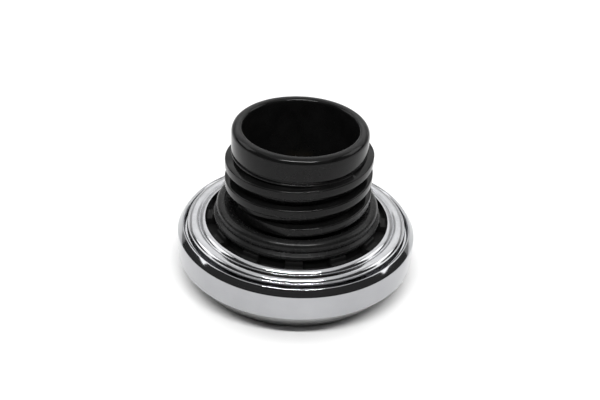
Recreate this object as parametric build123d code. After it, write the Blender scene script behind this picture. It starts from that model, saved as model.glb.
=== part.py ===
"""Screw-in fuel cap, lying on its crown with the threaded neck up.

Millimetres, +Z up. The origin is the centre of the crown's flat, on the cap's axis.
"""

from build123d import *
import math
import os

# Neck: tube with a plain rim band
neck_bore_radius = 18.8
neck_wall = 2.7
neck_height = 34.5
neck_floor = 2.0
vent_radius = 3.0
band_step = 0.9
band_height = 9.0
rim_round = 2.0
bore_edge_round = 1.2

# Thread on the neck: right hand, one start, trapezoid section
thread_pitch = 6.9
thread_depth = 2.9
thread_crest_width = 3.0
thread_flank_width = 0.5
thread_turns = 2.75
thread_low_angle = 180.0
thread_start_gap = 2.1
thread_sink = 0.6

# Gasket round the foot of the neck: a low lip and a fat upper lobe
gasket_width = 6.4
gasket_lip_height = 2.2
gasket_groove_depth = 1.3
gasket_groove_height = 1.0
gasket_lobe_step = 0.8
gasket_lobe_height = 2.9
gasket_lobe_round = 1.5
gasket_top_width = 2.7
gasket_inner_height = 4.3

# Collar under the gasket, stepped lugs, flange and spigot of the neck
collar_overhang = 1.4
collar_rise = 0.6
recess_width = 4.1
recess_depth = 3.2
flange_thickness = 2.0
lug_count = 12
lug_length = 5.6
lug_step = 1.6
spigot_step = 0.6
spigot_wall = 2.3
spigot_shoulder = 1.6

# Cover: one pressed shell with crown, bevel, wall and a lip that leans in at the mouth
rim_width = 9.4
cover_sheet = 0.9
crown_height = 8.8
crown_bevel_angle = 40.0
crown_roll = 1.5
wall_height = 8.4
mouth_lip_width = 1.7
mouth_lip_height = 2.3
mouth_edge_round = 0.3

# Rim ring: beaded sheet that closes the cover round the neck
ring_sheet = 0.7
ring_rise = 3.9
ring_seat_drop = 1.7
ring_ledge = 2.3
lip_round = 0.4
bead_width = 1.3
bead_round = 1.8
bead_slope = 0.85
groove_depth = 1.2
broad_bead_slope = 0.85
broad_bead_drop = 0.55
broad_bead_width = 2.0
broad_bead_round = 1.5
outer_slope = 0.75
outer_slope_drop = 1.05
ring_step = 0.35

# Ratchet: toothed cup in the cover, pawl ring on the neck's spigot
tooth_count = 24
tooth_depth = 2.0
tooth_margin = 0.5
cup_wall = 4.6
cup_floor = 2.7
pawl_count = 4
pawl_ring_width = 2.4
pawl_ring_height = 5.0
pawl_arm_width = 1.6
pawl_arm_sweep = 58.0
pawl_arm_bow = 3.9
pawl_head_angle = 7.0
pawl_head_depth = 2.6
key_width = 3.0
key_depth = 1.0

# Coned spring between the cup's floor and the pawl ring
disc_spring_sheet = 0.6
disc_spring_width = 6.5
disc_spring_height = 3.3

# Breather valve in the neck's bore
housing_wall = 2.4
housing_web = 1.5
port_radius = 6.0
seat_gap = 0.6
seat_width = 1.0
seat_drop = 0.8
seal_ring_width = 1.7
seal_ring_height = 1.8
seal_ring_level = 5.0
retainer_thickness = 1.5
retainer_hole_radius = 4.0
retainer_vent_radius = 1.4
retainer_vent_count = 4
plate_margin = 2.4
plate_thickness = 1.2
plate_tab_count = 4
plate_tab_width = 5.0
plate_vent_radius = 0.6
plate_vent_count = 3
seal_thickness = 1.3
seal_inner_radius = 3.0
seal_margin = 1.5
poppet_radius = 4.4
poppet_head = 1.2
stem_radius = 1.1
stem_tail = 0.6
clip_radius = 2.9
clip_thickness = 0.7
clip_groove_depth = 0.3
pressure_wire = 0.9
pressure_coil_radius = 8.8
pressure_turns = 3.0
pressure_length = 5.85
vacuum_wire = 0.5
vacuum_coil_radius = 2.1
vacuum_turns = 3.0
vacuum_length = 3.6

# Clearances
fit_gap = 0.1
run_gap = 0.3
seal_gap = 0.05

# Radii that follow, from the bore outwards
neck_root_radius = neck_bore_radius + neck_wall
band_radius = neck_root_radius + band_step
thread_crest_radius = neck_root_radius + thread_depth
gasket_lip_radius = neck_root_radius + gasket_width
collar_radius = gasket_lip_radius - collar_overhang
lip_radius = collar_radius + recess_width
cover_radius = lip_radius + rim_width
shell_inner_radius = cover_radius - cover_sheet
mouth_radius = cover_radius - mouth_lip_width
mouth_lean = math.atan2(mouth_lip_width, mouth_lip_height)
mouth_inner_radius = mouth_radius - cover_sheet * math.cos(mouth_lean)
mouth_inner_drop = cover_sheet * math.sin(mouth_lean)
ring_room = (ring_seat_drop - mouth_inner_drop) * math.tan(mouth_lean)
ring_outer_radius = mouth_inner_radius + ring_room - seal_gap
ring_groove_radius = lip_radius + bead_width + bead_slope
broad_bead_radius = ring_groove_radius + broad_bead_slope + broad_bead_width
ring_drop_radius = broad_bead_radius + outer_slope + ring_step
cup_radius = shell_inner_radius - fit_gap
cup_upper_radius = ring_outer_radius - ring_ledge
flange_radius = ring_drop_radius - ring_sheet - 2 * run_gap
tooth_root_radius = cup_radius - cup_wall
tooth_tip_radius = tooth_root_radius - tooth_depth
spigot_radius = neck_root_radius - spigot_step
pawl_ring_inner = spigot_radius + fit_gap
housing_radius = neck_bore_radius - fit_gap
housing_inner_radius = housing_radius - housing_wall
seat_radius = port_radius + seat_gap
seal_radius = seat_radius + seat_width + seal_margin
plate_radius = seal_radius + plate_margin

# Heights that follow, from the crown up
wall_top_z = crown_height + wall_height
mouth_z = wall_top_z + mouth_lip_height
ring_seat_z = mouth_z - ring_seat_drop
lip_z = ring_seat_z + ring_rise
collar_z = lip_z + collar_rise
rim_z = lip_z + neck_height
band_low_z = rim_z - band_height
gasket_lip_z = collar_z + gasket_lip_height
gasket_lobe_z = gasket_lip_z + gasket_groove_height
gasket_top_z = gasket_lobe_z + gasket_lobe_height
flange_top_z = lip_z - recess_depth
flange_low_z = flange_top_z - flange_thickness
cup_floor_z = cover_sheet + cup_floor
cup_top_z = ring_seat_z - ring_sheet
pawl_low_z = cup_floor_z + disc_spring_height + run_gap
pawl_high_z = pawl_low_z + pawl_ring_height
tooth_low_z = pawl_low_z - tooth_margin
tooth_high_z = pawl_high_z + tooth_margin
floor_z = flange_low_z
retainer_top_z = floor_z + retainer_thickness
plate_low_z = retainer_top_z + pressure_length
plate_top_z = plate_low_z + plate_thickness
seal_top_z = plate_top_z + seal_thickness
seat_z = seal_top_z + seal_gap
web_low_z = seat_z + seat_drop
housing_top_z = web_low_z + housing_web
clip_top_z = plate_low_z - vacuum_length


def turned(points, rounds):
    """Solid of revolution about the cap's axis, from a closed outline of (radius, height) points."""
    outline = FilletPolyline(*points, radius=rounds, close=True)
    return revolve(Plane.XZ * make_face(outline), Axis.Z)


def turned_sharp(points):
    """Solid of revolution with no rounded edge."""
    return turned(points, [0] * len(points))


def tube(outer, inner, low, high):
    """Straight ring between two heights."""
    wall = Circle(outer) - Circle(inner)
    return extrude(Pos(0, 0, low) * wall, high - low)


def rod(radius, low, high):
    """Straight round bar between two heights."""
    return extrude(Pos(0, 0, low) * Circle(radius), high - low)


def polar(radius, degrees):
    """Point in the plane at a radius and an angle."""
    angle = math.radians(degrees)
    return (radius * math.cos(angle), radius * math.sin(angle))


def around(shape, count, start=0.0):
    """Copies of a shape, evenly spaced about the cap's axis."""
    return [Rot(0, 0, start + i * 360 / count) * shape for i in range(count)]


def cover_shell():
    """Pressed chrome cover: flat crown, bevelled edge, upright wall, lip that leans in over the rim ring."""
    slope = math.tan(math.radians(crown_bevel_angle))
    inner_crease_z = crown_height + cover_sheet * math.tan(math.radians(crown_bevel_angle / 2))
    inner_wall_top_z = wall_top_z - cover_sheet * math.tan(mouth_lean / 2)
    corner_radius = cover_radius - crown_height * slope
    inner_corner_radius = shell_inner_radius - (inner_crease_z - cover_sheet) * slope
    points = [
        (0, 0),
        (corner_radius, 0),
        (cover_radius, crown_height),
        (cover_radius, wall_top_z),
        (mouth_radius, mouth_z),
        (mouth_inner_radius, mouth_z - mouth_inner_drop),
        (shell_inner_radius, inner_wall_top_z),
        (shell_inner_radius, inner_crease_z),
        (inner_corner_radius, cover_sheet),
        (0, cover_sheet),
    ]
    inner_roll = crown_roll - cover_sheet
    rounds = [0, crown_roll, 0, 0, mouth_edge_round, 0, 0, 0, inner_roll, 0]
    return turned(points, rounds)


def rim_ring():
    """Beaded sheet ring: down-turned hem at the lip, two beads, a step down to a flange under the cover's lip."""
    hem_z = flange_top_z + run_gap
    groove_z = lip_z - groove_depth
    broad_z = lip_z - broad_bead_drop
    step_z = broad_z - outer_slope_drop
    under_z = groove_z - ring_sheet
    inner_drop_radius = ring_drop_radius - ring_sheet
    points = [
        (lip_radius, hem_z),
        (lip_radius, lip_z),
        (lip_radius + bead_width, lip_z),
        (ring_groove_radius, groove_z),
        (ring_groove_radius + broad_bead_slope, broad_z),
        (broad_bead_radius, broad_z),
        (broad_bead_radius + outer_slope, step_z),
        (ring_drop_radius, step_z),
        (ring_drop_radius, ring_seat_z),
        (ring_outer_radius, ring_seat_z),
        (ring_outer_radius, cup_top_z),
        (inner_drop_radius, cup_top_z),
        (inner_drop_radius, under_z),
        (lip_radius + ring_sheet, under_z),
        (lip_radius + ring_sheet, hem_z),
    ]
    rounds = [0, lip_round, bead_round, 0, 0, broad_bead_round] + [0] * 9
    return turned(points, rounds)


def thread_run_out(angle, low, high):
    """Cutting block that fades the thread to nothing at one angle, between two heights."""
    ending = neck_root_radius - run_gap
    far = thread_crest_radius**2 / ending
    radius = (far + ending) / 2
    centre = polar((far - ending) / 2, angle + 180)
    block = rod(2 * thread_crest_radius, low, high)
    return block - Pos(*centre, 0) * rod(radius, low, high)


def thread_ridge():
    """Helical ridge, faded out over a quarter turn at each end."""
    sunk_radius = neck_root_radius - thread_sink
    crest = thread_crest_width / 2
    flank_slope = thread_flank_width / thread_depth
    base = crest + flank_slope * (thread_crest_radius - sunk_radius)
    section = Plane.XZ * make_face(
        Polyline(
            (sunk_radius, -base),
            (thread_crest_radius, -crest),
            (thread_crest_radius, crest),
            (sunk_radius, base),
            close=True,
        )
    )
    rise = thread_pitch * thread_turns
    path = Helix(thread_pitch, rise, neck_root_radius)
    low_z = gasket_top_z + thread_start_gap - crest
    high_z = low_z + rise
    high_angle = thread_low_angle + 360 * thread_turns
    ridge = Pos(0, 0, low_z) * Rot(0, 0, thread_low_angle) * sweep(section, path, is_frenet=True)
    half = thread_pitch / 2
    ridge -= thread_run_out(thread_low_angle, low_z - thread_pitch, low_z + half)
    ridge -= thread_run_out(high_angle, high_z - half, high_z + thread_pitch)
    return ridge


def neck_lug():
    """Stepped lug on the collar, pointing along +X, its outer corners just clear of the rim ring's lip."""
    outer_radius = math.sqrt((lip_radius - run_gap) ** 2 - (lug_length / 2) ** 2)
    step_radius = (collar_radius + outer_radius) / 2
    sunk_radius = (collar_radius + neck_root_radius) / 2
    sunk_z = (flange_top_z + flange_low_z) / 2
    outline = Polyline(
        (sunk_radius, sunk_z),
        (outer_radius, sunk_z),
        (outer_radius, collar_z - lug_step),
        (step_radius, collar_z - lug_step),
        (step_radius, collar_z),
        (sunk_radius, collar_z),
        close=True,
    )
    return extrude(Plane.XZ * make_face(outline), lug_length / 2, both=True)


def threaded_neck():
    """Moulded neck: tube with rim band and thread, gasket collar with lugs, flange, floor and spigot."""
    spigot_inner = spigot_radius - spigot_wall
    shoulder_radius_low = spigot_radius + spigot_shoulder
    shoulder_low_z = pawl_high_z + fit_gap
    foot = turned_sharp(
        [
            (vent_radius, floor_z - neck_floor),
            (spigot_inner, floor_z - neck_floor),
            (spigot_inner, pawl_low_z),
            (spigot_radius, pawl_low_z),
            (spigot_radius, shoulder_low_z),
            (shoulder_radius_low, shoulder_low_z),
            (shoulder_radius_low, flange_low_z),
            (flange_radius, flange_low_z),
            (flange_radius, flange_top_z),
            (collar_radius, flange_top_z),
            (collar_radius, collar_z),
            (neck_root_radius, collar_z),
            (neck_root_radius, band_low_z),
            (neck_bore_radius, band_low_z),
            (neck_bore_radius, floor_z),
            (vent_radius, floor_z),
        ]
    )
    band_points = [
        (neck_bore_radius, band_low_z),
        (band_radius, band_low_z),
        (band_radius, rim_z),
        (neck_bore_radius, rim_z),
    ]
    band = turned(band_points, [0, 0, rim_round, bore_edge_round])
    # The thread joins the tube below the band and the band itself, which then meet on one flat
    ridge = thread_ridge()
    below = tube(2 * thread_crest_radius, neck_bore_radius, collar_z, band_low_z)
    beside = tube(2 * thread_crest_radius, neck_bore_radius, band_low_z, rim_z)
    neck = (foot + (ridge & below)) + (band + (ridge & beside))
    neck += around(neck_lug(), lug_count)
    key = Box(2 * key_depth, key_width, pawl_ring_height, align=(Align.CENTER, Align.CENTER, Align.MIN))
    neck += around(Pos(spigot_radius, 0, pawl_low_z) * key, pawl_count)
    return neck


def neck_gasket():
    """Rubber gasket on the collar: low lip, groove, fat lobe, top that falls towards the neck."""
    inner = neck_root_radius + fit_gap
    groove_radius = gasket_lip_radius - gasket_groove_depth
    lobe_radius = gasket_lip_radius - gasket_lobe_step
    points = [
        (inner, collar_z),
        (gasket_lip_radius, collar_z),
        (gasket_lip_radius, gasket_lip_z),
        (groove_radius, (gasket_lip_z + gasket_lobe_z) / 2),
        (lobe_radius, gasket_lobe_z),
        (lobe_radius, gasket_top_z),
        (lobe_radius - gasket_top_width, gasket_top_z),
        (inner, collar_z + gasket_inner_height),
    ]
    lip_edge = gasket_lip_height / 3
    rounds = [0, lip_edge, lip_edge, 0, 0, gasket_lobe_round, 0, 0]
    return turned(points, rounds)


def ratchet_cup():
    """Moulded cup pressed into the cover, with saw teeth inside and a top edge that carries the rim ring."""
    corner_radius = cup_radius - crown_height * math.tan(math.radians(crown_bevel_angle))
    cup = turned_sharp(
        [
            (0, cover_sheet),
            (corner_radius, cover_sheet),
            (cup_radius, crown_height + cover_sheet),
            (cup_radius, wall_top_z - cover_sheet),
            (ring_outer_radius, cup_top_z),
            (cup_upper_radius, cup_top_z),
            (cup_upper_radius, tooth_high_z),
            (tooth_tip_radius, tooth_high_z),
            (tooth_tip_radius, cup_floor_z),
            (0, cup_floor_z),
        ]
    )
    pitch = 360 / tooth_count
    outline = []
    for i in range(tooth_count):
        outline.append(polar(tooth_root_radius, i * pitch))
        outline.append(polar(tooth_tip_radius, i * pitch))
    gaps = make_face(Polyline(*outline, close=True))
    return cup - extrude(Pos(0, 0, tooth_low_z) * gaps, tooth_high_z - tooth_low_z)


def slope_radius(degrees):
    """Radius of a tooth's straight slope at an angle back from its root."""
    pitch = math.radians(360 / tooth_count)
    angle = math.radians(degrees)
    root_share = math.sin(pitch - angle) / tooth_root_radius
    tip_share = math.sin(angle) / tooth_tip_radius
    return math.sin(pitch) / (root_share + tip_share)


def pawl_arm():
    """Flat outline of one spring arm with its head in a tooth gap, for the tooth step at angle zero."""
    back = math.degrees(run_gap / tooth_root_radius)
    tip_radius = tooth_root_radius - run_gap
    heel_radius = slope_radius(pawl_head_angle) - run_gap
    head = make_face(
        Polyline(
            polar(tip_radius, -back),
            polar(tip_radius - pawl_head_depth - tooth_depth, -back),
            polar(heel_radius - pawl_head_depth, -pawl_head_angle),
            polar(heel_radius, -pawl_head_angle),
            close=True,
        )
    )
    ring_radius = pawl_ring_inner + pawl_ring_width / 2
    start_radius = heel_radius - pawl_head_depth / 2
    start = polar(start_radius, -pawl_head_angle + 2 * back)
    middle = polar(ring_radius + pawl_arm_bow, -pawl_head_angle - pawl_arm_sweep / 2)
    end = polar(ring_radius, -pawl_head_angle - pawl_arm_sweep)
    arm = trace(ThreePointArc(start, middle, end), pawl_arm_width)
    return head + arm


def pawl_ring():
    """Moulded ring keyed to the neck's spigot, with one-way spring arms."""
    flat = Circle(pawl_ring_inner + pawl_ring_width)
    flat += around(pawl_arm(), pawl_count)
    flat -= Circle(pawl_ring_inner)
    slot = Pos(spigot_radius, 0) * Rectangle(2 * (key_depth + fit_gap), key_width + 2 * fit_gap)
    for copy in around(slot, pawl_count):
        flat -= copy
    return extrude(Pos(0, 0, pawl_low_z) * flat, pawl_ring_height)


def disc_spring():
    """Coned washer: its wide edge stands on the cup's floor, its narrow edge bears on the pawl ring."""
    wide = pawl_ring_inner + disc_spring_width
    high = cup_floor_z + disc_spring_height
    return turned_sharp(
        [
            (wide, cup_floor_z),
            (wide, cup_floor_z + disc_spring_sheet),
            (pawl_ring_inner, high),
            (pawl_ring_inner, high - disc_spring_sheet),
        ]
    )


def valve_housing():
    """Cup that stands in the neck's bore: ring groove outside, web with port and seat on top."""
    groove_radius = neck_bore_radius - seal_ring_width - 2 * seal_gap
    groove_low = floor_z + seal_ring_level - seal_gap
    groove_high = floor_z + seal_ring_level + seal_ring_height + seal_gap
    return turned_sharp(
        [
            (housing_inner_radius, floor_z),
            (housing_radius, floor_z),
            (housing_radius, groove_low),
            (groove_radius, groove_low),
            (groove_radius, groove_high),
            (housing_radius, groove_high),
            (housing_radius, housing_top_z),
            (port_radius, housing_top_z),
            (port_radius, web_low_z),
            (seat_radius, web_low_z),
            (seat_radius, seat_z),
            (seat_radius + seat_width, seat_z),
            (seat_radius + seat_width, web_low_z),
            (housing_inner_radius, web_low_z),
        ]
    )


def housing_seal_ring():
    """Lathe-cut rubber ring in the housing's groove."""
    outer = neck_bore_radius - seal_gap
    low = floor_z + seal_ring_level
    return tube(outer, outer - seal_ring_width, low, low + seal_ring_height)


def spring_retainer():
    """Vented plate that the pressure spring stands on."""
    outer = housing_inner_radius - fit_gap
    flat = Circle(outer) - Circle(retainer_hole_radius)
    vent = Pos((outer + pressure_coil_radius) / 2, 0) * Circle(retainer_vent_radius)
    for copy in around(vent, retainer_vent_count):
        flat -= copy
    return extrude(Pos(0, 0, floor_z) * flat, retainer_thickness)


def pressure_plate():
    """Sliding plate guided by tabs in the housing, with small vents round the stem hole."""
    stem_hole = stem_radius + fit_gap
    reach = housing_inner_radius - run_gap
    tab = Pos(reach / 2, 0) * Rectangle(reach, plate_tab_width) & Circle(reach)
    flat = Circle(plate_radius)
    for copy in around(tab, plate_tab_count):
        flat += copy
    flat -= Circle(stem_hole)
    vent = Pos((stem_hole + seal_inner_radius) / 2, 0) * Circle(plate_vent_radius)
    for copy in around(vent, plate_vent_count):
        flat -= copy
    return extrude(Pos(0, 0, plate_low_z) * flat, plate_thickness)


def pressure_seal():
    """Rubber disc on the plate, under the seat."""
    return tube(seal_radius, seal_inner_radius, plate_top_z, seal_top_z)


def vacuum_poppet():
    """Poppet: head on the rubber disc, stem down through the plate, groove for the clip."""
    head_low = seal_top_z + seal_gap
    groove_high = clip_top_z + seal_gap
    groove_low = clip_top_z - clip_thickness - seal_gap
    groove_radius = stem_radius - clip_groove_depth
    return turned_sharp(
        [
            (0, groove_low - stem_tail),
            (stem_radius, groove_low - stem_tail),
            (stem_radius, groove_low),
            (groove_radius, groove_low),
            (groove_radius, groove_high),
            (stem_radius, groove_high),
            (stem_radius, head_low),
            (poppet_radius, head_low),
            (poppet_radius, head_low + poppet_head),
            (0, head_low + poppet_head),
        ]
    )


def stem_clip():
    """Open clip in the stem's groove."""
    inner = stem_radius - clip_groove_depth + seal_gap
    mouth = Pos(clip_radius / 2, 0) * Rectangle(clip_radius, 2 * inner)
    flat = Circle(clip_radius) - Circle(inner) - mouth
    return extrude(Pos(0, 0, clip_top_z - clip_thickness) * flat, clip_thickness)


def coil(coil_radius, wire, turns, low, high):
    """Square-wire coil between two heights."""
    rise = high - low - wire
    path = Helix(rise / turns, rise, coil_radius)
    section = Plane.XZ * Pos(coil_radius, 0) * Rectangle(wire, wire)
    return Pos(0, 0, low + wire / 2) * sweep(section, path, is_frenet=True)


def pressure_spring():
    """Coil from the retainer up to the plate."""
    low = retainer_top_z + seal_gap
    return coil(pressure_coil_radius, pressure_wire, pressure_turns, low, plate_low_z - seal_gap)


def vacuum_spring():
    """Coil round the stem, from the clip up to the plate."""
    low = clip_top_z + seal_gap
    return coil(vacuum_coil_radius, vacuum_wire, vacuum_turns, low, plate_low_z - seal_gap)


PIECES = [
    cover_shell,
    rim_ring,
    ratchet_cup,
    disc_spring,
    threaded_neck,
    neck_gasket,
    pawl_ring,
    valve_housing,
    housing_seal_ring,
    spring_retainer,
    pressure_spring,
    pressure_plate,
    pressure_seal,
    vacuum_spring,
    vacuum_poppet,
    stem_clip,
]

os.makedirs("parts", exist_ok=True)
for piece in PIECES:
    export_step(piece(), f"parts/{piece.__name__}.step")
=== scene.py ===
import bmesh
import bpy
import math
from mathutils import Matrix, Vector


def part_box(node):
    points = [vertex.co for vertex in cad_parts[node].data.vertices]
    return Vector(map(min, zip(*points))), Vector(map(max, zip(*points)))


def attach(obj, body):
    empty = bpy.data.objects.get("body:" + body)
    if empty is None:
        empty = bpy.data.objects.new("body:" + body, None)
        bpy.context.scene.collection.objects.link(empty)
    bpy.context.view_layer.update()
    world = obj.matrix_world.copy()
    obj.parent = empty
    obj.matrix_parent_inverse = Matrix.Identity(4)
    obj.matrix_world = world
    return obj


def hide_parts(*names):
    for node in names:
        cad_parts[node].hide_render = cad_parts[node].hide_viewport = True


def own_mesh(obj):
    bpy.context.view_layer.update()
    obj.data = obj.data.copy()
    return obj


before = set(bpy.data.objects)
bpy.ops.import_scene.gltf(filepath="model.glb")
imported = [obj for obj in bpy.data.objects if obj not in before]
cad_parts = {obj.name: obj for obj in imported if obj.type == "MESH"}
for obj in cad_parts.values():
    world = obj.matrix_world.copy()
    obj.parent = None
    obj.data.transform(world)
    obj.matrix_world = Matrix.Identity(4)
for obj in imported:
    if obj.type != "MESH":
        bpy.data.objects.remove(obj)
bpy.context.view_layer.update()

MM = 0.001
TURN_STEPS = 256
ROUND_STEPS = 6
COIL_STEPS = 64
WIRE_STEPS = 16
SHARP_ANGLE = math.radians(32)
MERGE_DISTANCE = 0.001 * MM

# Edge rounds that several pieces share
FINE_ROUND = 0.1 * MM
CREASE_ROUND = 0.15 * MM
EDGE_ROUND = 0.2 * MM
SOFT_ROUND = 0.3 * MM

# Main sizes, read from the frame
shell_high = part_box("cover_shell")[1]
ring_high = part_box("rim_ring")[1]
gasket_low, gasket_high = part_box("neck_gasket")
neck_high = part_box("threaded_neck")[1]
pawl_low, pawl_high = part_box("pawl_ring")
housing_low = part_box("valve_housing")[0]
cover_radius = shell_high.x
ring_radius = ring_high.x
lip_z = ring_high.z
collar_z = gasket_low.z
gasket_radius = gasket_high.x
rim_z = neck_high.z
flange_radius = neck_high.x
floor_z = housing_low.z

# Cover
sheet = 0.9 * MM
crown_height = 8.8 * MM
crown_bevel = math.radians(40.0)
crown_roll = 1.5 * MM
wall_top_z = crown_height + 8.4 * MM
mouth_lip_width = 1.7 * MM
mouth_lip_height = 2.3 * MM
mouth_z = wall_top_z + mouth_lip_height

# Rim ring
ring_sheet = 0.7 * MM
lip_radius = cover_radius - 9.4 * MM
ring_seat_z = lip_z - 3.9 * MM

# Gasket and neck
root_radius = gasket_radius - 6.4 * MM
bore_radius = root_radius - 2.7 * MM
band_radius = root_radius + 0.9 * MM
band_low_z = rim_z - 9.0 * MM
collar_radius = gasket_radius - 1.4 * MM
flange_top_z = lip_z - 3.2 * MM

# Thread
pitch = 6.9 * MM
thread_turns = 2.75
thread_low_angle = math.pi
crest_radius = root_radius + 2.9 * MM
crest_half = 1.5 * MM
base_half = 2.1 * MM
thread_low_z = gasket_high.z + 2.1 * MM - crest_half


def finished(name, bm, body, node, sharp=SHARP_ANGLE):
    """Turns a bmesh into a smooth-shaded piece that rides on a body and stands for a node."""
    bmesh.ops.remove_doubles(bm, verts=bm.verts, dist=MERGE_DISTANCE)
    bmesh.ops.recalc_face_normals(bm, faces=bm.faces)
    for face in bm.faces:
        face.smooth = True
    mesh = bpy.data.meshes.new(name)
    bm.to_mesh(mesh)
    bm.free()
    mesh.set_sharp_from_angle(angle=sharp)
    piece = bpy.data.objects.new(name, mesh)
    bpy.context.scene.collection.objects.link(piece)
    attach(piece, body)
    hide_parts(node)
    return piece


def outline(bm, corners):
    """Closed outline in the XZ plane from (radius, height, round) corners; gives its edges."""
    verts = [bm.verts.new((r, 0, z)) for r, z, _ in corners]
    bm.faces.new(verts)
    for i, (r, z, rounding) in enumerate(corners):
        if rounding == 0:
            continue
        here = Vector((r, z))
        before = Vector(corners[i - 1][:2]) - here
        after = Vector(corners[(i + 1) % len(corners)][:2]) - here
        tangent = rounding / math.tan(before.angle(after) / 2)
        bmesh.ops.bevel(
            bm,
            geom=[verts[i]],
            offset=tangent,
            offset_type="OFFSET",
            segments=ROUND_STEPS,
            profile=0.5,
            affect="VERTICES",
            material=-1,
        )
    bmesh.ops.delete(bm, geom=list(bm.faces), context="FACES_ONLY")
    return list(bm.edges)


def turned(corners):
    """Surface of revolution about the cap's axis, from a closed outline."""
    bm = bmesh.new()
    edges = outline(bm, corners)
    bmesh.ops.spin(
        bm,
        geom=list(bm.verts) + edges,
        cent=(0, 0, 0),
        axis=(0, 0, 1),
        angle=2 * math.pi,
        steps=TURN_STEPS,
        use_merge=True,
    )
    bmesh.ops.remove_doubles(bm, verts=bm.verts, dist=MERGE_DISTANCE)
    bmesh.ops.recalc_face_normals(bm, faces=bm.faces)
    return bm


def cover_shell():
    """Pressed chrome cover: flat crown, bevel, upright wall, lip that leans in over the rim ring."""
    slope = math.tan(crown_bevel)
    lean = math.atan2(mouth_lip_width, mouth_lip_height)
    mouth_radius = cover_radius - mouth_lip_width
    inner_radius = cover_radius - sheet
    inner_crease = crown_height + sheet * math.tan(crown_bevel / 2)
    corners = [
        (0, 0, 0),
        (cover_radius - crown_height * slope, 0, crown_roll),
        (cover_radius, crown_height, 0.5 * MM),
        (cover_radius, wall_top_z, 0.6 * MM),
        (mouth_radius, mouth_z, SOFT_ROUND),
        (mouth_radius - sheet * math.cos(lean), mouth_z - sheet * math.sin(lean), CREASE_ROUND),
        (inner_radius, wall_top_z - sheet * math.tan(lean / 2), SOFT_ROUND),
        (inner_radius, inner_crease, SOFT_ROUND),
        (inner_radius - (inner_crease - sheet) * slope, sheet, crown_roll - sheet),
        (0, sheet, 0),
    ]
    return finished("chrome_cover", turned(corners), "cover", "cover_shell")


def rim_ring():
    """Beaded chrome ring: hem at the lip, two beads, a step down to a flange under the cover's lip."""
    hem_z = flange_top_z + 0.3 * MM
    seat_low = ring_seat_z - ring_sheet
    bead_end = lip_radius + 1.3 * MM
    groove = bead_end + 0.85 * MM
    broad_start = groove + 0.85 * MM
    broad_end = broad_start + 2.0 * MM
    step = broad_end + 0.75 * MM
    drop = step + 0.35 * MM
    groove_z = lip_z - 1.2 * MM
    broad_z = lip_z - 0.55 * MM
    step_z = broad_z - 1.05 * MM
    under_z = groove_z - ring_sheet
    corners = [
        (lip_radius, hem_z, EDGE_ROUND),
        (lip_radius, lip_z, 0.4 * MM),
        (bead_end, lip_z, 1.8 * MM),
        (groove, groove_z, CREASE_ROUND),
        (broad_start, broad_z, 0.7 * MM),
        (broad_end, broad_z, 1.5 * MM),
        (step, step_z, CREASE_ROUND),
        (drop, step_z, EDGE_ROUND),
        (drop, ring_seat_z, SOFT_ROUND),
        (ring_radius, ring_seat_z, FINE_ROUND),
        (ring_radius, seat_low, FINE_ROUND),
        (drop - ring_sheet, seat_low, FINE_ROUND),
        (drop - ring_sheet, under_z, 0),
        (lip_radius + ring_sheet, under_z, 0),
        (lip_radius + ring_sheet, hem_z, EDGE_ROUND),
    ]
    return finished("chrome_rim_ring", turned(corners), "cover", "rim_ring")


def neck_gasket():
    """Rubber gasket on the collar: low lip, groove, fat lobe, top that falls towards the neck."""
    inner = root_radius + 0.1 * MM
    lip_top = collar_z + 1.6 * MM
    lobe_low = collar_z + 3.2 * MM
    lobe_radius = gasket_radius - 0.8 * MM
    corners = [
        (inner, collar_z, 0),
        (gasket_radius, collar_z, 0.73 * MM),
        (gasket_radius, lip_top, 0.73 * MM),
        (gasket_radius - 1.3 * MM, (lip_top + lobe_low) / 2, 0.25 * MM),
        (lobe_radius, lobe_low, SOFT_ROUND),
        (lobe_radius, gasket_high.z, 2.0 * MM),
        (lobe_radius - 2.7 * MM, gasket_high.z, 0.6 * MM),
        (inner, collar_z + 4.3 * MM, EDGE_ROUND),
    ]
    return finished("rubber_gasket", turned(corners), "neck", "neck_gasket")


def run_out_radius(angle):
    """Greatest thread radius at an angle from the thread's end, on an eccentric circle."""
    ending = root_radius - 0.3 * MM
    far = crest_radius**2 / ending
    offset = (far - ending) / 2
    radius = (far + ending) / 2
    return math.sqrt(radius**2 - (offset * math.sin(angle)) ** 2) - offset * math.cos(angle)


def thread_ridge():
    """Helical ridge with rounded crest edges, faded out over a quarter turn at each end."""
    bm = bmesh.new()
    sunk = root_radius - 0.6 * MM
    corners = [
        (sunk, -base_half, 0),
        (crest_radius, -crest_half, 0.5 * MM),
        (crest_radius, crest_half, 0.5 * MM),
        (sunk, base_half, 0),
    ]
    edges = outline(bm, corners)
    steps = int(thread_turns * 128)
    sweep = 2 * math.pi * thread_turns
    bmesh.ops.spin(
        bm,
        geom=list(bm.verts) + edges,
        cent=(0, 0, 0),
        axis=(0, 0, 1),
        dvec=(0, 0, pitch * thread_turns / steps),
        angle=sweep,
        steps=steps,
    )
    ends = [edge for edge in bm.edges if edge.is_boundary]
    bmesh.ops.holes_fill(bm, edges=ends, sides=0)
    quarter = math.pi / 2
    for vert in bm.verts:
        around = math.atan2(vert.co.y, vert.co.x)
        turns = round(vert.co.z / pitch - around / (2 * math.pi))
        travelled = around + 2 * math.pi * turns
        from_end = min(abs(travelled), abs(sweep - travelled))
        radius = vert.co.xy.length
        limit = run_out_radius(from_end) if from_end < quarter else crest_radius
        if radius > limit:
            vert.co.xy *= limit / radius
    place = Matrix.Translation((0, 0, thread_low_z)) @ Matrix.Rotation(thread_low_angle, 4, "Z")
    bmesh.ops.transform(bm, matrix=place, verts=bm.verts)
    bmesh.ops.recalc_face_normals(bm, faces=bm.faces)
    return bm


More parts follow.
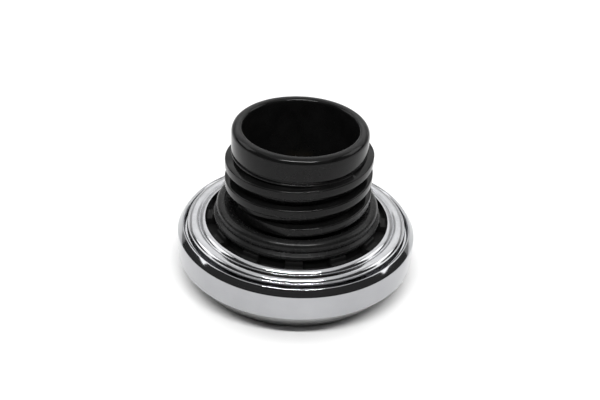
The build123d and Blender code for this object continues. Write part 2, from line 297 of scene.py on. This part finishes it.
def lugs_and_keys():
    """Twelve stepped lugs on the collar, and the four keys on the spigot."""
    length = 5.6 * MM
    outer = math.sqrt((lip_radius - 0.3 * MM) ** 2 - (length / 2) ** 2)
    step = (collar_radius + outer) / 2
    sunk = (collar_radius + root_radius) / 2
    sunk_z = flange_top_z - 1.0 * MM
    step_z = collar_z - 1.6 * MM
    bm = bmesh.new()
    points = [
        (sunk, sunk_z),
        (outer, sunk_z),
        (outer, step_z),
        (step, step_z),
        (step, collar_z),
        (sunk, collar_z),
    ]
    side = bm.faces.new([bm.verts.new((r, -length / 2, z)) for r, z in points])
    grown = bmesh.ops.extrude_face_region(bm, geom=[side], use_keep_orig=True)
    far = [item for item in grown["geom"] if isinstance(item, bmesh.types.BMVert)]
    bmesh.ops.translate(bm, vec=(0, length, 0), verts=far)
    bmesh.ops.recalc_face_normals(bm, faces=bm.faces)
    bmesh.ops.bevel(
        bm, geom=list(bm.edges), offset=EDGE_ROUND, segments=2, profile=0.5, affect="EDGES", material=-1
    )
    lug = list(bm.verts) + list(bm.edges) + list(bm.faces)
    for i in range(1, 12):
        copy = bmesh.ops.duplicate(bm, geom=lug)["geom"]
        verts = [item for item in copy if isinstance(item, bmesh.types.BMVert)]
        turn = Matrix.Rotation(math.radians(30 * i), 3, "Z")
        bmesh.ops.rotate(bm, cent=(0, 0, 0), matrix=turn, verts=verts)
    spigot = root_radius - 0.6 * MM
    pawl_height = pawl_high.z - pawl_low.z
    for i in range(4):
        place = Matrix.Rotation(math.radians(90 * i), 4, "Z") @ Matrix.Translation(
            (spigot, 0, pawl_low.z + pawl_height / 2)
        )
        size = Matrix.Diagonal((2.0 * MM, 3.0 * MM, pawl_height, 1))
        bmesh.ops.create_cube(bm, size=1, matrix=place @ size)
    return bm


def joined(first, others):
    """One surface from overlapping closed ones."""
    base = bpy.data.objects.new("base", bpy.data.meshes.new("base"))
    first.to_mesh(base.data)
    first.free()
    bpy.context.scene.collection.objects.link(base)
    made = [base]
    for bm in others:
        tool = bpy.data.objects.new("tool", bpy.data.meshes.new("tool"))
        bm.to_mesh(tool.data)
        bm.free()
        bpy.context.scene.collection.objects.link(tool)
        union = base.modifiers.new("union", "BOOLEAN")
        union.operation = "UNION"
        union.solver = "EXACT"
        union.object = tool
        made.append(tool)
    bpy.context.view_layer.update()
    result = bmesh.new()
    result.from_object(base, bpy.context.evaluated_depsgraph_get())
    for item in made:
        bpy.data.meshes.remove(item.data)
    return result


def threaded_neck():
    """Moulded neck: tube with rim band and thread, collar with lugs, flange, floor and spigot."""
    spigot = root_radius - 0.6 * MM
    spigot_inner = spigot - 2.3 * MM
    shoulder = spigot + 1.6 * MM
    shoulder_low = pawl_high.z + 0.1 * MM
    flange_low = flange_top_z - 2.0 * MM
    vent = 3.0 * MM
    land_low = band_low_z - 0.5 * MM
    groove_low = band_low_z + 0.15 * MM
    groove_high = groove_low + 1.0 * MM
    corners = [
        (vent, floor_z - 2.0 * MM, EDGE_ROUND),
        (spigot_inner, floor_z - 2.0 * MM, 0),
        (spigot_inner, pawl_low.z, EDGE_ROUND),
        (spigot, pawl_low.z, EDGE_ROUND),
        (spigot, shoulder_low, 0),
        (shoulder, shoulder_low, EDGE_ROUND),
        (shoulder, flange_low, 0),
        (flange_radius, flange_low, SOFT_ROUND),
        (flange_radius, flange_top_z, SOFT_ROUND),
        (collar_radius, flange_top_z, SOFT_ROUND),
        (collar_radius, collar_z, SOFT_ROUND),
        (root_radius, collar_z, 0),
        (root_radius, land_low, CREASE_ROUND),
        (band_radius, land_low, EDGE_ROUND),
        (band_radius, groove_low, SOFT_ROUND),
        (band_radius - 0.6 * MM, groove_low + 0.1 * MM, FINE_ROUND),
        (band_radius - 0.6 * MM, groove_high - 0.1 * MM, FINE_ROUND),
        (band_radius, groove_high, 0.25 * MM),
        (band_radius, rim_z, 2.0 * MM),
        (bore_radius, rim_z, 1.2 * MM),
        (bore_radius, floor_z, EDGE_ROUND),
        (vent, floor_z, EDGE_ROUND),
    ]
    bm = joined(turned(corners), [thread_ridge(), lugs_and_keys()])
    return finished("threaded_neck_moulding", bm, "neck", "threaded_neck")


def coil_spring(name, node, body, wire, turns):
    """Round-wire coil as tall and wide as a node's box."""
    low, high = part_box(node)
    radius = (high.x - low.x - wire) / 2
    height = high.z - low.z
    steps = int(turns * COIL_STEPS)
    bm = bmesh.new()
    section = Matrix.Translation((radius, 0, low.z + wire / 2)) @ Matrix.Rotation(math.pi / 2, 4, "X")
    bmesh.ops.create_circle(bm, segments=WIRE_STEPS, radius=wire / 2, matrix=section)
    bmesh.ops.spin(
        bm,
        geom=list(bm.verts) + list(bm.edges),
        cent=(0, 0, 0),
        axis=(0, 0, 1),
        dvec=(0, 0, (height - wire) / steps),
        angle=2 * math.pi * turns,
        steps=steps,
    )
    ends = [edge for edge in bm.edges if edge.is_boundary]
    bmesh.ops.holes_fill(bm, edges=ends, sides=0)
    spring = finished(name, bm, body, node)
    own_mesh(spring)
    return spring


def pressure_coil():
    """Coil that shuts the pressure valve; it stands on the retainer."""
    return coil_spring(
        "pressure_coil", "pressure_spring", "neck", 0.9 * MM, 3.0
    )


def vacuum_coil():
    """Coil that shuts the vacuum poppet; it hangs from the pressure plate."""
    return coil_spring(
        "vacuum_coil", "vacuum_spring", "pressure_valve", 0.5 * MM, 3.0
    )


class Shader:
    """A procedural material on Object coordinates, built up node by node."""

    def __init__(self, name):
        self.material = bpy.data.materials.new(name)
        self.material.use_nodes = True
        self.nodes = self.material.node_tree.nodes
        self.links = self.material.node_tree.links
        self.surface = self.nodes["Principled BSDF"]
        self.place = self.nodes.new("ShaderNodeTexCoord").outputs["Object"]

    def noise(self, scale, detail=4.0, roughness=0.55):
        node = self.nodes.new("ShaderNodeTexNoise")
        node.inputs["Scale"].default_value = scale
        node.inputs["Detail"].default_value = detail
        node.inputs["Roughness"].default_value = roughness
        self.links.new(self.place, node.inputs["Vector"])
        return node.outputs["Fac"]

    def ranged(self, value, low, high, start=0.3, end=0.7):
        node = self.nodes.new("ShaderNodeMapRange")
        node.inputs["From Min"].default_value = start
        node.inputs["From Max"].default_value = end
        node.inputs["To Min"].default_value = low
        node.inputs["To Max"].default_value = high
        self.links.new(value, node.inputs["Value"])
        return node.outputs["Result"]

    def mixed(self, value, low, high):
        node = self.nodes.new("ShaderNodeMix")
        node.data_type = "RGBA"
        node.inputs["A"].default_value = (*low, 1)
        node.inputs["B"].default_value = (*high, 1)
        self.links.new(value, node.inputs["Factor"])
        return node.outputs["Result"]

    def above(self, height):
        """0 below a height of the part, 1 above it."""
        node = self.nodes.new("ShaderNodeSeparateXYZ")
        self.links.new(self.place, node.inputs["Vector"])
        return self.ranged(node.outputs["Z"], 0, 1, height - 0.1 * MM, height + 0.1 * MM)

    def blended(self, factor, low, high, kind="FLOAT"):
        """Value or colour that goes from one to the other with a factor."""
        node = self.nodes.new("ShaderNodeMix")
        node.data_type = kind
        sockets = [item for item in node.inputs if item.enabled]
        factor_in, low_in, high_in = sockets
        self.links.new(factor, factor_in)
        for value, socket in ((low, low_in), (high, high_in)):
            if isinstance(value, float):
                socket.default_value = value
            else:
                self.links.new(value, socket)
        return [item for item in node.outputs if item.enabled][0]

    def colour(self, value):
        self.links.new(value, self.surface.inputs["Base Color"])

    def rough(self, value):
        self.links.new(value, self.surface.inputs["Roughness"])

    def bump(self, height, strength, distance):
        node = self.nodes.new("ShaderNodeBump")
        node.inputs["Strength"].default_value = strength
        node.inputs["Distance"].default_value = distance
        self.links.new(height, node.inputs["Height"])
        self.links.new(node.outputs["Normal"], self.surface.inputs["Normal"])

    def white_far(self, start, end):
        reach = self.nodes.new("ShaderNodeVectorMath")
        reach.operation = "LENGTH"
        self.links.new(self.place, reach.inputs[0])
        share = self.nodes.new("ShaderNodeMath")
        share.operation = "MULTIPLY"
        self.links.new(self.ranged(reach.outputs["Value"], 0, 1, start, end), share.inputs[0])
        self.links.new(self.nodes.new("ShaderNodeLightPath").outputs["Is Camera Ray"], share.inputs[1])
        blend = self.nodes.new("ShaderNodeMixShader")
        self.links.new(share.outputs["Value"], blend.inputs["Fac"])
        self.links.new(self.surface.outputs["BSDF"], blend.inputs[1])
        self.links.new(self.nodes.new("ShaderNodeEmission").outputs["Emission"], blend.inputs[2])
        self.links.new(blend.outputs["Shader"], self.nodes["Material Output"].inputs["Surface"])


def metal(name, dull, bright, smooth, rough, blotch, grain, depth, painted_shade_below=None):
    """Metal with cloudy polish and a faint grain, and painted shade below a height: a dark, dull tone
    that stands in for the shaded floor mirrored there.
    """
    shader = Shader(name)
    shader.surface.inputs["Metallic"].default_value = 1.0
    cloud = shader.noise(blotch)
    tone = shader.mixed(shader.ranged(cloud, 0, 1), dull, bright)
    polish = shader.ranged(cloud, rough, smooth)
    # Painted shade: below the height the tone turns dark grey and duller, standing in for the shaded
    # floor that the crown's bevel mirrors.
    if painted_shade_below is not None:
        above = shader.above(painted_shade_below)
        painted_shade_tone = shader.mixed(shader.ranged(cloud, 0, 1), grey(0.25), grey(0.28))
        tone = shader.blended(above, painted_shade_tone, tone, "RGBA")
        polish = shader.blended(above, 0.3, polish)
    shader.colour(tone)
    shader.rough(polish)
    shader.bump(shader.noise(grain, 2.0), 0.2, depth)
    return shader.material


def moulded(name, dark, pale, smooth, rough, blotch, grain, depth, matt_below=None):
    """Plastic or rubber with uneven gloss and a fine moulded grain, and matt below a height."""
    shader = Shader(name)
    cloud = shader.noise(blotch)
    shader.colour(shader.mixed(shader.ranged(cloud, 0, 1), dark, pale))
    gloss = shader.ranged(shader.noise(blotch * 3), smooth, rough)
    if matt_below is not None:
        gloss = shader.blended(shader.above(matt_below), 0.6, gloss)
    shader.rough(gloss)
    shader.surface.inputs["Specular IOR Level"].default_value = 0.15
    shader.bump(shader.noise(grain, 2.0), 0.3, depth)
    return shader.material


def grey(value):
    return (value, value, value)


cover_chrome = metal(
    "cover_chrome",
    (0.365, 0.368, 0.38),
    (0.405, 0.408, 0.42),
    0.05,
    0.11,
    90,
    1500,
    0.004 * MM,
    # painted shade on the crown's bevel, below the wall's crease
    painted_shade_below=crown_height,
)
ring_chrome = metal(
    "ring_chrome", (0.40, 0.403, 0.415), (0.45, 0.453, 0.465), 0.09, 0.2, 220, 1500, 0.004 * MM
)
steel = metal("spring_steel", grey(0.42), grey(0.55), 0.22, 0.38, 300, 3000, 0.01 * MM)
brass = metal("poppet_brass", (0.60, 0.42, 0.17), (0.72, 0.53, 0.24), 0.2, 0.35, 300, 3000, 0.01 * MM)
neck_black = moulded(
    "neck_plastic_black", grey(0.003), grey(0.006), 0.08, 0.15, 150, 2500, 0.01 * MM, matt_below=collar_z
)
rubber_black = moulded("gasket_rubber_black", grey(0.006), grey(0.009), 0.2, 0.3, 200, 2000, 0.01 * MM)
seal_black = moulded("seal_rubber_black", grey(0.014), grey(0.022), 0.5, 0.65, 300, 2500, 0.03 * MM)
nylon_black = moulded("inner_nylon_black", grey(0.02), grey(0.03), 0.4, 0.5, 200, 2500, 0.02 * MM)
acetal = moulded(
    "pawl_acetal_white", (0.66, 0.66, 0.64), (0.72, 0.72, 0.70), 0.3, 0.42, 200, 2500, 0.02 * MM
)
valve_black = moulded("valve_plastic_black", grey(0.014), grey(0.02), 0.38, 0.5, 200, 2500, 0.02 * MM)

MATERIALS = {
    "ratchet_cup": nylon_black,
    "disc_spring": steel,
    "pawl_ring": acetal,
    "valve_housing": valve_black,
    "housing_seal_ring": seal_black,
    "spring_retainer": valve_black,
    "pressure_plate": valve_black,
    "pressure_seal": seal_black,
    "vacuum_poppet": brass,
    "stem_clip": steel,
}

for made, material in [
    (cover_shell(), cover_chrome),
    (rim_ring(), ring_chrome),
    (neck_gasket(), rubber_black),
    (threaded_neck(), neck_black),
    (pressure_coil(), steel),
    (vacuum_coil(), steel),
]:
    made.data.materials.clear()
    made.data.materials.append(material)
for node, material in MATERIALS.items():
    inner = bpy.data.objects[node]
    inner.data.materials.clear()
    inner.data.materials.append(material)


def card(name, width, height, place, facing, material):
    """Flat stage card, turned to face a point."""
    bm = bmesh.new()
    bmesh.ops.create_grid(bm, x_segments=1, y_segments=1, size=0.5)
    turn = (Vector(facing) - Vector(place)).to_track_quat("Z", "Y").to_matrix().to_4x4()
    size = Matrix.Diagonal((width, height, 1, 1))
    bmesh.ops.transform(bm, matrix=Matrix.Translation(place) @ turn @ size, verts=bm.verts)
    mesh = bpy.data.meshes.new(name)
    bm.to_mesh(mesh)
    bm.free()
    mesh.materials.append(material)
    sheet_card = bpy.data.objects.new(name, mesh)
    bpy.context.scene.collection.objects.link(sheet_card)
    return sheet_card


def stage_paper(name, value):
    """Plain matt paper that is plain white to the camera far from the part."""
    shader = Shader(name)
    shader.colour(shader.mixed(shader.noise(3), grey(value - 0.01), grey(value + 0.01)))
    shader.surface.inputs["Roughness"].default_value = 0.9
    shader.surface.inputs["Specular IOR Level"].default_value = 0.1
    shader.white_far(0.35, 0.8)
    return shader.material


def area_lamp(name, place, facing, width, height, power):
    """Soft box turned to face a point."""
    data = bpy.data.lights.new(name, "AREA")
    data.shape = "RECTANGLE"
    data.size = width
    data.size_y = height
    data.energy = power
    lamp = bpy.data.objects.new(name, data)
    lamp.location = place
    lamp.rotation_euler = (Vector(facing) - Vector(place)).to_track_quat("-Z", "Y").to_euler()
    bpy.context.scene.collection.objects.link(lamp)
    return lamp


centre = Vector((0, 0, rim_z / 2))
white_paper = stage_paper("white_paper", 0.82)
card("floor", 6.0, 6.0, (0, 0, 0), (0, 0, 1), white_paper)
card("backdrop", 3.0, 1.2, (0, 0.9, 0.6), (0, 0, 0.6), white_paper)
area_lamp("left_box", (-0.8, 0.2, 0.55), centre, 0.5, 0.5, 2.0)
area_lamp("right_box", (0.8, 0.2, 0.55), centre, 0.5, 0.5, 2.0)
area_lamp("front_top_strip", (0, -0.42, 0.70), centre, 0.6, 0.035, 6.0)
area_lamp("back_box", (0, 0.85, 0.6), centre, 2.4, 1.0, 7.0)
area_lamp("ceiling", (0, 0.1, 1.6), (0, 0.1, 0), 2.4, 2.4, 18)

world = bpy.data.worlds.new("studio")
world.use_nodes = True
bpy.context.scene.world = world
world.node_tree.nodes["Background"].inputs["Color"].default_value = (0.05, 0.05, 0.05, 1)
bpy.context.scene.view_settings.view_transform = "Standard"

# Camera, from the fitted view of the photograph
VIEW_DISTANCE = 375.69 * MM
VIEW_ELEVATION = math.radians(32.379)
VIEW_ROLL = math.radians(2.874)
aim = Vector((0.893 * MM, 0, lip_z + 6.287 * MM))
back = Vector((0, -math.cos(VIEW_ELEVATION), math.sin(VIEW_ELEVATION)))
camera = bpy.data.objects.new("camera", bpy.data.cameras.new("camera"))
camera.data.sensor_width = 36.0
camera.data.lens = 67.24
camera.data.clip_start = 0.01
look = (-back).to_track_quat("-Z", "Y").to_matrix().to_4x4()
roll = Matrix.Rotation(VIEW_ROLL, 4, "Z")
camera.matrix_world = Matrix.Translation(aim + back * VIEW_DISTANCE) @ look @ roll
bpy.context.scene.collection.objects.link(camera)
bpy.context.scene.camera = camera
